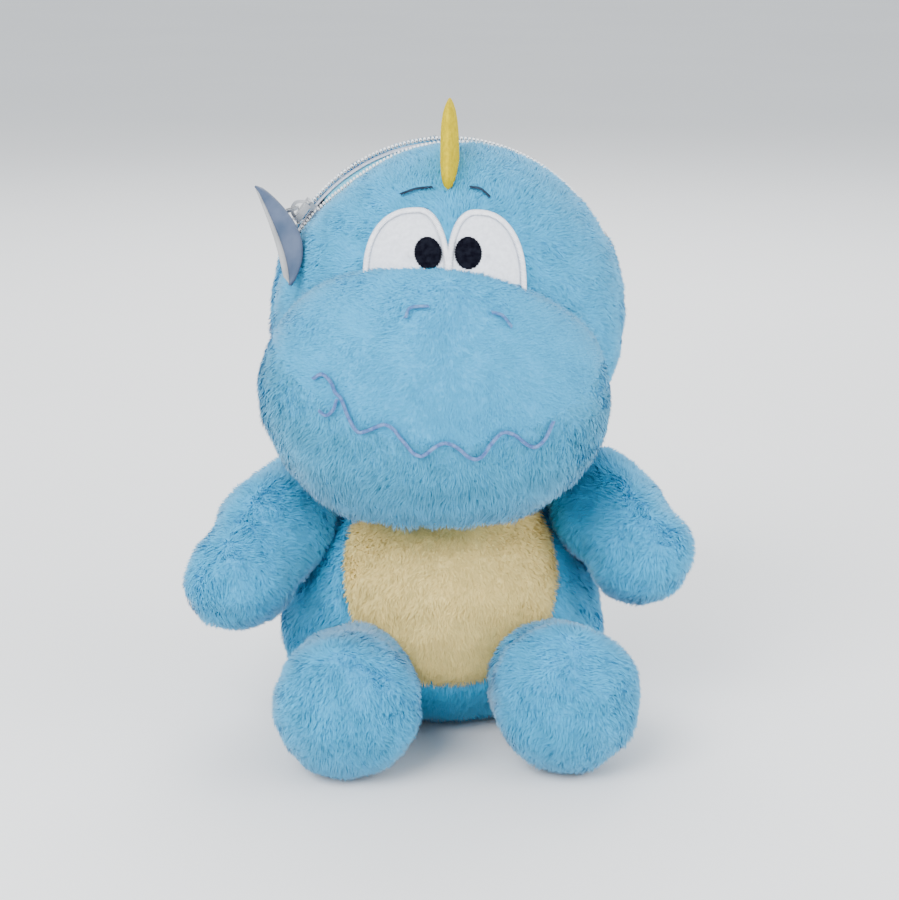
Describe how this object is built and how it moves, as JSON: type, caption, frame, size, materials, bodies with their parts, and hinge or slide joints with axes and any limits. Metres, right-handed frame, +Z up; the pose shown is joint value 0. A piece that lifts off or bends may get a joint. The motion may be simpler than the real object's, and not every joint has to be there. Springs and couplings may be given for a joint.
{
  "type": "plush pouch keychain",
  "caption": "Sitting plush dinosaur pouch on a key ring: round head with a curved crown zip and lined pocket, wide muzzle, flat crest, soft arms, legs and tail.",
  "frame": {"origin": "middle of the flat seat under the torso", "axes": "+Z up, the face looks along -Y, +X is the viewer's right"},
  "size_m": [0.1584, 0.171, 0.1977],
  "materials": {
    "black_thread": "satin embroidery",
    "blue_plush": "short-pile plush",
    "clear_nylon": "clear nylon",
    "cream_plush": "brushed plush",
    "dark_thread": "satin embroidery",
    "grey_thread": "satin embroidery",
    "lining_cloth": "plain weave",
    "long_plush": "long-pile plush",
    "nickel": "nickel plated",
    "nylon_coil": "moulded",
    "polyester_filling": "loose fibre",
    "silver_thread": "satin embroidery",
    "tag_card": "coated card",
    "webbing": "ribbed webbing",
    "white_felt": "smooth felt",
    "yellow_felt": "soft velboa",
    "zip_tape": "woven tape"
  },
  "bodies": {
    "torso": {"torso_front_panel": "blue_plush", "belly_panel": "cream_plush", "torso_back_panel": "blue_plush", "base_panel": "blue_plush", "torso_stuffing": "polyester_filling", "back_fin_upper": "yellow_felt", "back_fin_lower": "yellow_felt"},
    "head": {"forehead_panel": "blue_plush", "snout_panel": "blue_plush", "chin_panel": "long_plush", "head_back_panel": "blue_plush", "head_gusset_left": "blue_plush", "head_gusset_right": "blue_plush", "neck_panel": "blue_plush", "head_stuffing": "polyester_filling", "pouch_lining": "lining_cloth", "zip_tape_front": "zip_tape", "zip_tape_rear": "zip_tape", "zip_coil_front": "nylon_coil", "zip_coil_rear": "nylon_coil", "zip_bottom_stop": "nickel", "zip_top_stops": "nickel", "eye_whites": "white_felt", "pupils": "black_thread", "eyebrow_stitching": "dark_thread", "nostril_stitching": "silver_thread", "mouth_stitching": "grey_thread", "crest_fin": "yellow_felt", "nape_fin": "yellow_felt", "hang_loop": "webbing"},
    "zip_slider": {"zip_slider": "nickel"},
    "zip_pull": {"zip_pull": "nickel"},
    "hang_tag": {"hang_tag": "tag_card", "tag_fastener": "clear_nylon"},
    "key_ring": {"key_ring": "nickel"},
    "tail": {"tail_left_panel": "blue_plush", "tail_right_panel": "blue_plush", "tail_stuffing": "polyester_filling", "tail_fin": "yellow_felt"},
    "arm_left": {"arm_left_front_panel": "blue_plush", "arm_left_back_panel": "blue_plush", "arm_left_stuffing": "polyester_filling"},
    "leg_left": {"leg_left_under_panel": "blue_plush", "leg_left_upper_panel": "blue_plush", "leg_left_stuffing": "polyester_filling"},
    "arm_right": {"arm_right_front_panel": "blue_plush", "arm_right_back_panel": "blue_plush", "arm_right_stuffing": "polyester_filling"},
    "leg_right": {"leg_right_under_panel": "blue_plush", "leg_right_upper_panel": "blue_plush", "leg_right_stuffing": "polyester_filling"}
  },
  "joints": [
    {"name": "head_turn", "type": "hinge", "parent": "torso", "child": "head", "pos_m": [0, 0, 0.074], "axis": [0, 0, 1], "range_deg": [-20, 20], "stiffness_Nm_per_rad": 0.02},
    {"name": "zip_slide", "type": "hinge", "parent": "head", "child": "zip_slider", "pos_m": [0.0015, 0.0025, 0.128], "axis": [0, 1, 0], "range_deg": [0, 104], "deforming": ["zip_coil_front", "zip_coil_rear", "zip_tape_front", "zip_tape_rear"]},
    {"name": "pull_flip", "type": "hinge", "parent": "zip_slider", "child": "zip_pull", "pos_m": [-0.04498, 0.0025, 0.16252], "axis": [0, 1, 0], "range_deg": [0, 90]},
    {"name": "tag_swing", "type": "hinge", "parent": "zip_pull", "child": "hang_tag", "pos_m": [-0.05229, 0.0025, 0.16043], "axis": [0, 1, 0], "range_deg": [0, 30]},
    {"name": "ring_swing", "type": "hinge", "parent": "head", "child": "key_ring", "pos_m": [0.0015, 0.057, 0.15], "axis": [1, 0, 0], "range_deg": [0, 70]},
    {"name": "arm_left_raise", "type": "hinge", "parent": "torso", "child": "arm_left", "pos_m": [-0.0465, 0.002, 0.0695], "axis": [0, 1, 0], "range_deg": [0, 40]},
    {"name": "arm_right_raise", "type": "hinge", "parent": "torso", "child": "arm_right", "pos_m": [0.0465, 0.002, 0.0705], "axis": [0, -1, 0], "range_deg": [0, 40]},
    {"name": "leg_left_lift", "type": "hinge", "parent": "torso", "child": "leg_left", "pos_m": [-0.03, -0.029, 0.018], "axis": [-1, 0, 0], "range_deg": [0, 13]},
    {"name": "leg_right_lift", "type": "hinge", "parent": "torso", "child": "leg_right", "pos_m": [0.03, -0.029, 0.018], "axis": [-1, 0, 0], "range_deg": [0, 13]},
    {"name": "tail_swing", "type": "hinge", "parent": "torso", "child": "tail", "pos_m": [0, 0.036, 0.019], "axis": [0, 0, 1], "range_deg": [-15, 15], "stiffness_Nm_per_rad": 0.01}
  ]
}
